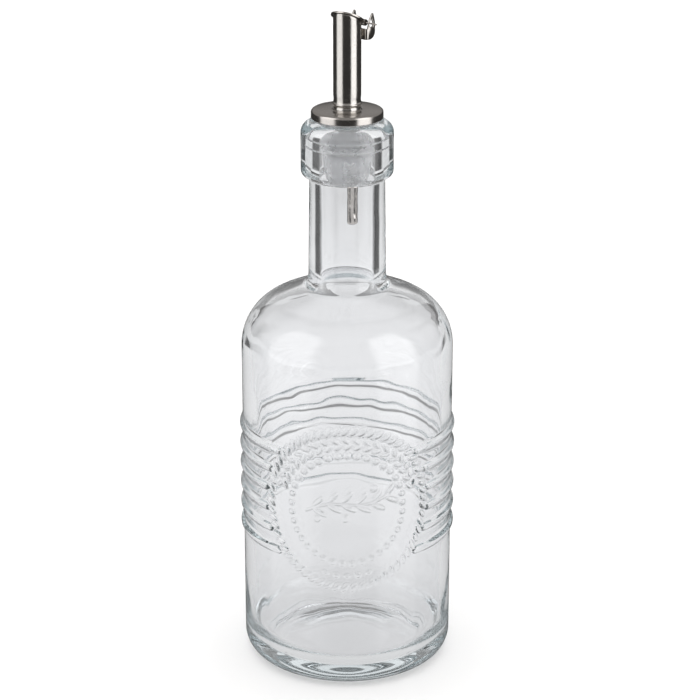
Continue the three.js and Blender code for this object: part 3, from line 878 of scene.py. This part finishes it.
def make_flap():
    outward, pin_axis = hinge_directions()
    upward = Vector((0, 0, 1))
    normal = mouth_normal()
    # round lid with a pressed rim on top and a shallow seat underneath
    clear_selection()
    bpy.ops.mesh.primitive_cylinder_add(vertices=96, radius=FLAP_R * MM, depth=SHEET * MM)
    piece = new_piece("flap_steel")
    for face_up, inset, push in ((True, 1.0, -0.14), (False, 1.75, -0.2)):
        bpy.ops.object.mode_set(mode='EDIT')
        bpy.ops.mesh.select_all(action='DESELECT')
        bpy.ops.object.mode_set(mode='OBJECT')
        for face in piece.data.polygons:
            face.select = face.normal.z > 0.9 if face_up else face.normal.z < -0.9
        bpy.ops.object.mode_set(mode='EDIT')
        bpy.ops.mesh.inset(thickness=inset * MM)
        bpy.ops.mesh.inset(thickness=0.35 * MM)
        bpy.ops.transform.translate(value=(0, 0, push * MM))
        bpy.ops.object.mode_set(mode='OBJECT')
    turn = Vector((0, 0, 1)).rotation_difference(normal).to_matrix().to_4x4()
    seat = Vector((0, 0, TUBE_TOP)) + normal * (GAP + SHEET / 2)
    piece.data.transform(Matrix.Translation(seat * MM) @ turn)
    # strip that runs from the lid to the pin and curls round it
    fall = normal.dot(outward) / normal.z
    start = TUBE_R + 0.12
    lid_z = TUBE_TOP + GAP / normal.z - fall * start
    strip = [(start - 1.2, lid_z + 1.2 * fall + 0.1), (start, lid_z)]
    strip += arc(HINGE_OUT, HINGE_Z, CURL_R, 228.6, 522, 30)
    strip += [(start, lid_z + SHEET), (start - 1.2, lid_z + 1.2 * fall + SHEET - 0.1)]
    origin = Vector((0, 0, 0))
    tail = cut_plate("flap_strip", strip, outward, upward, origin, 2 * TAIL_HALF)
    cut_with(piece, tail, 'UNION')
    clear_selection()
    bpy.ops.mesh.primitive_cylinder_add(vertices=32, radius=CURL_BORE_R * MM, depth=3 * TAIL_HALF * MM)
    bore = new_piece("curl_bore")
    turn = Vector((0, 0, 1)).rotation_difference(pin_axis).to_matrix().to_4x4()
    seat = outward * HINGE_OUT + upward * HINGE_Z
    bore.data.transform(Matrix.Translation(seat * MM) @ turn)
    cut_with(piece, bore, 'DIFFERENCE')
    return soften_sheet(piece, 0.08)


# ---- shader nodes
def fill_inputs(tree, node, inputs):
    """An input given another node's output is joined to it; any other is set to the value."""
    for key, value in inputs.items():
        if isinstance(value, bpy.types.NodeSocket):
            tree.links.new(value, node.inputs[key])
        else:
            node.inputs[key].default_value = value


def add_node(tree, kind, inputs=None, **settings):
    node = tree.nodes.new("ShaderNode" + kind)
    for key, value in settings.items():
        setattr(node, key, value)
    fill_inputs(tree, node, inputs or {})
    return node


def maths(tree, operation, first, second):
    return add_node(tree, "Math", {0: first, 1: second}, operation=operation).outputs[0]


def map_range(tree, value, source, target=(0.0, 1.0), ease='LINEAR'):
    inputs = {"Value": value, "From Min": source[0], "From Max": source[1]}
    inputs.update({"To Min": target[0], "To Max": target[1]})
    return add_node(tree, "MapRange", inputs, interpolation_type=ease).outputs[0]


def mix_colours(tree, share, first, second):
    """A Mix node takes its two colours in inputs 6 and 7 and gives the mixed one in output 2."""
    inputs = {0: share, 6: (*first, 1), 7: (*second, 1)}
    return add_node(tree, "Mix", inputs, data_type='RGBA').outputs[2]


def new_material(name):
    material = bpy.data.materials.new(name)
    material.use_nodes = True
    return material, material.node_tree, material.node_tree.nodes["Principled BSDF"]


# ---- camera, table and light
def set_camera():
    clear_selection()
    bpy.ops.object.camera_add(location=CAMERA_PLACE, rotation=(CAMERA_TILT, 0, 0))
    camera = bpy.context.object
    camera.name = "camera"
    camera.data.lens = CAMERA_LENS
    camera.data.sensor_width = 36
    camera.data.shift_x = CAMERA_SHIFT
    camera.data.clip_start = 0.01
    bpy.context.scene.camera = camera


def hide_from(piece, *rays):
    for ray in rays:
        setattr(piece, "visible_" + ray, False)


def set_floor():
    clear_selection()
    bpy.ops.mesh.primitive_plane_add(size=TABLE_SIZE)
    floor = new_piece("pale_floor")
    material, tree, shader = new_material("pale_floor")
    fill_inputs(tree, shader, {
        "Base Color": (0.83, 0.83, 0.83, 1), "Roughness": 0.9, "Specular IOR Level": 0.0})
    floor.data.materials.append(material)
    hide_from(floor, "glossy", "transmission")


def new_glow(piece):
    """A material that will only give off light, put on a stage piece."""
    material, tree, shader = new_material(piece.name)
    tree.nodes.remove(shader)
    piece.data.materials.append(material)
    return tree


def finish_glow(piece, tree, inputs):
    """Makes the piece give off light that is seen only through the glass."""
    light = add_node(tree, "Emission", inputs)
    fill_inputs(tree, tree.nodes["Material Output"], {"Surface": light.outputs[0]})
    hide_from(piece, "camera", "diffuse", "glossy", "shadow")


def dark_card_share(tree, place, reach):
    """Four dark cards on the table, off the front and back directions, that edge the neck."""
    size = add_node(tree, "VectorMath", {0: place}, operation='ABSOLUTE')
    split = add_node(tree, "SeparateXYZ", {0: size.outputs[0]})
    off_axis = maths(tree, 'ARCTAN2', split.outputs["X"], split.outputs["Y"])
    cover = map_range(tree, off_axis, CARD_START, ease='SMOOTHSTEP')
    for value, edge in ((off_axis, CARD_END), (reach, CARD_NEAR), (reach, CARD_FAR)):
        share = map_range(tree, value, edge, ease='SMOOTHSTEP')
        cover = maths(tree, 'MULTIPLY', cover, share)
    return map_range(tree, cover, (0.0, 1.0), (1.0, CARD_DARK))


def set_glow():
    """The lit table as it shows through the glass, a plane giving off its own light: bright a little way
    round the foot, dimmer far away, and darkened right next to the foot by a painted shadow of the bottle.
    """
    clear_selection()
    bpy.ops.mesh.primitive_plane_add(size=TABLE_SIZE, location=(0, 0, -0.0005))
    glow = new_piece("lit_table")
    tree = new_glow(glow)
    place = add_node(tree, "TexCoord").outputs["Object"]
    reach = add_node(tree, "VectorMath", {0: place}, operation='LENGTH').outputs["Value"]
    # the ramp paints the table's light, with a painted shadow of the bottle close to the foot
    fade = add_node(tree, "ValToRGB", {0: reach})
    marks = fade.color_ramp.elements
    for position, value in TABLE_GLOW_AND_SHADOW[1:-1]:
        marks.new(position)
    for mark, (position, value) in zip(marks, TABLE_GLOW_AND_SHADOW):
        mark.color = (value, value, value, 1)
    finish_glow(glow, tree, {
        "Color": fade.outputs["Color"], "Strength": dark_card_share(tree, place, reach)})


def set_back_card():
    """Card behind the table that gives off its own light, seen only through the glass: painted light, grey
    at its foot, white above.
    """
    clear_selection()
    bpy.ops.mesh.primitive_plane_add(size=1.0, rotation=(math.pi / 2, 0, 0))
    card = new_piece("glowing_back_card")
    bpy.ops.object.mode_set(mode='EDIT')
    bpy.ops.mesh.select_all(action='SELECT')
    bpy.ops.transform.resize(value=(BACK_CARD_WIDTH, 1, BACK_CARD_HEIGHT))
    bpy.ops.object.mode_set(mode='OBJECT')
    card.location = (0, BACK_CARD_AWAY, BACK_CARD_HEIGHT / 2)
    tree = new_glow(card)
    split = add_node(tree, "SeparateXYZ", {0: add_node(tree, "TexCoord").outputs["Generated"]})
    glow = (BACK_CARD_LOW, BACK_CARD_HIGH)
    strength = map_range(tree, split.outputs["Y"], BACK_CARD_RISE, glow, 'SMOOTHSTEP')
    finish_glow(card, tree, {"Strength": strength})


def softbox(name, azimuth_deg, width, strength):
    clear_selection()
    azimuth = math.radians(azimuth_deg - 90)
    out = (SOFTBOX_AWAY * math.cos(azimuth), SOFTBOX_AWAY * math.sin(azimuth))
    bpy.ops.object.light_add(type='AREA', location=(*out, SOFTBOX_CENTRE))
    light = bpy.context.object
    light.name = name
    light.data.shape = 'RECTANGLE'
    light.data.size = width
    light.data.size_y = SOFTBOX_HEIGHT
    light.data.energy = strength * width * SOFTBOX_HEIGHT * math.pi
    light.rotation_euler = (math.pi / 2, 0, azimuth + math.pi / 2)
    hide_from(light, "camera", "diffuse")
    fade_edges(light)


def fade_edges(light):
    """The cloth of a softbox is brightest in the middle and falls off to its edges."""
    light.data.use_nodes = True
    tree = light.data.node_tree
    place = add_node(tree, "NewGeometry").outputs["Parametric"]
    split = add_node(tree, "SeparateXYZ", {0: place})
    shares = []
    for axis, margin in SOFTBOX_MARGINS:
        inward = maths(tree, 'PINGPONG', split.outputs[axis], 0.5)
        shares.append(map_range(tree, inward, (0.0, margin), ease='SMOOTHSTEP'))
    fill_inputs(tree, tree.nodes["Emission"], {"Strength": maths(tree, 'MULTIPLY', *shares)})


def set_light():
    for box in SOFTBOXES:
        softbox(*box)
    clear_selection()
    bpy.ops.object.light_add(type='SUN', location=(0, 0, 2))
    sun = bpy.context.object
    sun.name = "overhead_light"
    sun.data.energy = SUN_POWER
    sun.data.angle = SUN_SOFTNESS
    hide_from(sun, "glossy", "transmission")
    world = bpy.data.worlds.new("studio")
    world.use_nodes = True
    scene = bpy.context.scene
    scene.world = world
    tree = world.node_tree
    split = add_node(tree, "SeparateXYZ", {0: add_node(tree, "TexCoord").outputs["Generated"]})
    strength = map_range(tree, split.outputs["Z"], WORLD_RISE, WORLD_GLOW)
    fill_inputs(tree, tree.nodes["Background"], {"Color": WORLD_COLOUR, "Strength": strength})
    scene.view_settings.view_transform = 'Standard'
    # thick clear glass needs long light paths
    scene.cycles.max_bounces = LONG_PATHS
    scene.cycles.glossy_bounces = GLOSSY_PATHS
    scene.cycles.transmission_bounces = LONG_PATHS
    scene.cycles.transparent_max_bounces = LONG_PATHS


# ---- finishes
def new_group(name, inputs, outputs):
    group = bpy.data.node_groups.new(name, 'ShaderNodeTree')
    for label, value in inputs.items():
        kind = 'NodeSocketVector' if isinstance(value, tuple) else 'NodeSocketFloat'
        socket = group.interface.new_socket(name=label, in_out='INPUT', socket_type=kind)
        socket.default_value = value
    for label in outputs:
        group.interface.new_socket(name=label, in_out='OUTPUT', socket_type='NodeSocketFloat')
    given = group.nodes.new("NodeGroupInput").outputs
    return group, given, group.nodes.new("NodeGroupOutput")


def grain_group():
    """Fine lines left by brushing or polishing, drawn out along one direction."""
    group, given, end = new_group(
        "brushing", {"Stretch": (9000, 9000, 90), "Amount": 1.0}, ("Mask", "Height"))
    place = add_node(group, "TexCoord").outputs["Object"]
    drawn = add_node(group, "VectorMath", {0: place, 1: given["Stretch"]}, operation='MULTIPLY')
    noise = add_node(group, "TexNoise", {"Vector": drawn.outputs[0], "Scale": 1.0, "Detail": 3.0})
    lines = noise.outputs["Fac"]
    height = maths(group, 'MULTIPLY', lines, given["Amount"])
    fill_inputs(group, end, {"Mask": lines, "Height": height})
    return group


def smudge_group():
    """Faint cloudy patches from handling and wiping."""
    group, given, end = new_group(
        "handling_marks", {"Scale": 60.0, "Low": 0.0, "High": 0.1}, ("Roughness", "Mask"))
    place = add_node(group, "TexCoord").outputs["Object"]
    noise = add_node(group, "TexNoise", {"Vector": place, "Scale": given["Scale"], "Detail": 4.0})
    clouds = noise.outputs["Fac"]
    spread = map_range(group, clouds, (0.4, 0.7), (given["Low"], given["High"]))
    fill_inputs(group, end, {"Roughness": spread, "Mask": clouds})
    return group


def dust_group():
    """Sparse specks of dust."""
    group, given, end = new_group("dust", {"Scale": 900.0, "Amount": 1.0}, ("Mask",))
    place = add_node(group, "TexCoord").outputs["Object"]
    specks = add_node(group, "TexVoronoi", {"Vector": place, "Scale": given["Scale"]})
    small = map_range(group, specks.outputs["Distance"], (0.10, 0.04))
    fill_inputs(group, end, {"Mask": maths(group, 'MULTIPLY', small, given["Amount"])})
    return group


BRUSHING = grain_group()
MARKS = smudge_group()
DUST = dust_group()


def place_group(tree, group, **values):
    node = tree.nodes.new("ShaderNodeGroup")
    node.node_tree = group
    fill_inputs(tree, node, values)
    return node


def bottle_glass():
    material, tree, shader = new_material("bottle_glass")
    marks = place_group(tree, MARKS, Scale=45.0, Low=0.0, High=0.035)
    place = add_node(tree, "TexCoord").outputs["Object"]
    waves = add_node(tree, "TexNoise", {"Vector": place, "Scale": 55.0, "Detail": 1.0})
    bump = add_node(tree, "Bump", {
        "Strength": 0.35, "Distance": 0.6 * MM, "Height": waves.outputs["Fac"]})
    fill_inputs(tree, shader, {
        "Base Color": (0.95, 0.952, 0.962, 1), "IOR": 1.5, "Transmission Weight": 1.0,
        "Roughness": marks.outputs["Roughness"], "Normal": bump.outputs["Normal"]})
    # light for the shadows goes straight through
    path = add_node(tree, "LightPath")
    clear = add_node(tree, "BsdfTransparent")
    mix = add_node(tree, "MixShader", {
        0: path.outputs["Is Shadow Ray"], 1: shader.outputs[0], 2: clear.outputs[0]})
    tint = add_node(tree, "VolumeAbsorption", {"Color": (0.70, 0.78, 0.80, 1), "Density": 10.0})
    output = tree.nodes["Material Output"]
    fill_inputs(tree, output, {"Surface": mix.outputs[0], "Volume": tint.outputs[0]})
    return material


def silicone():
    material, tree, shader = new_material("milky_silicone")
    marks = place_group(tree, MARKS, Scale=220.0, Low=0.26, High=0.32)
    colour = mix_colours(tree, marks.outputs["Mask"], (0.97, 0.98, 1.0), (1.0, 1.0, 1.0))
    fill_inputs(tree, shader, {
        "Base Color": colour, "Roughness": marks.outputs["Roughness"],
        "IOR": 1.41, "Transmission Weight": 0.55})
    return material


def steel(name):
    darker, lighter, stretch, roughness, depth = STEELS[name]
    material, tree, shader = new_material(name)
    grain = place_group(tree, BRUSHING, Stretch=stretch, Amount=1.0)
    marks = place_group(tree, MARKS, Scale=160.0, Low=roughness[0], High=roughness[1])
    dust = place_group(tree, DUST, Scale=1400.0, Amount=0.12)
    bump = add_node(tree, "Bump", {
        "Strength": 0.5, "Distance": depth * MM, "Height": grain.outputs["Height"]})
    fill_inputs(tree, shader, {
        "Base Color": mix_colours(tree, grain.outputs["Mask"], darker, lighter),
        "Roughness": maths(tree, 'ADD', marks.outputs["Roughness"], dust.outputs["Mask"]),
        "Metallic": 1.0, "Normal": bump.outputs["Normal"]})
    return material


def dress(piece, material, body, slot, *nodes):
    piece.data.materials.clear()
    piece.data.materials.append(material)
    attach(piece, body)
    if nodes:
        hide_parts(*nodes)


# ---- making the object
set_camera()
set_floor()
set_glow()
set_back_card()
set_light()
tube_steel = steel("tube_steel")
cap_steel = steel("cap_steel")
sheet_steel = steel("sheet_steel")
pipe_steel = steel("pipe_steel")
dress(make_bottle(), bottle_glass(), "bottle", "glass", "bottle")
dress(make_stopper(), silicone(), "pourer", "silicone", "stopper")
dress(make_cap(), cap_steel, "pourer", "brushed_cap", "cap")
dress(make_spout(), tube_steel, "pourer", "spout_steel", "spout_tube")
dress(make_vent(), pipe_steel, "pourer", "spout_steel", "vent_tube")
dress(make_bracket(), sheet_steel, "pourer", "sheet_steel", "hinge_bracket")
dress(make_pin(), sheet_steel, "flap", "sheet_steel", "hinge_pin")
dress(make_flap(), sheet_steel, "flap", "sheet_steel", "flap")
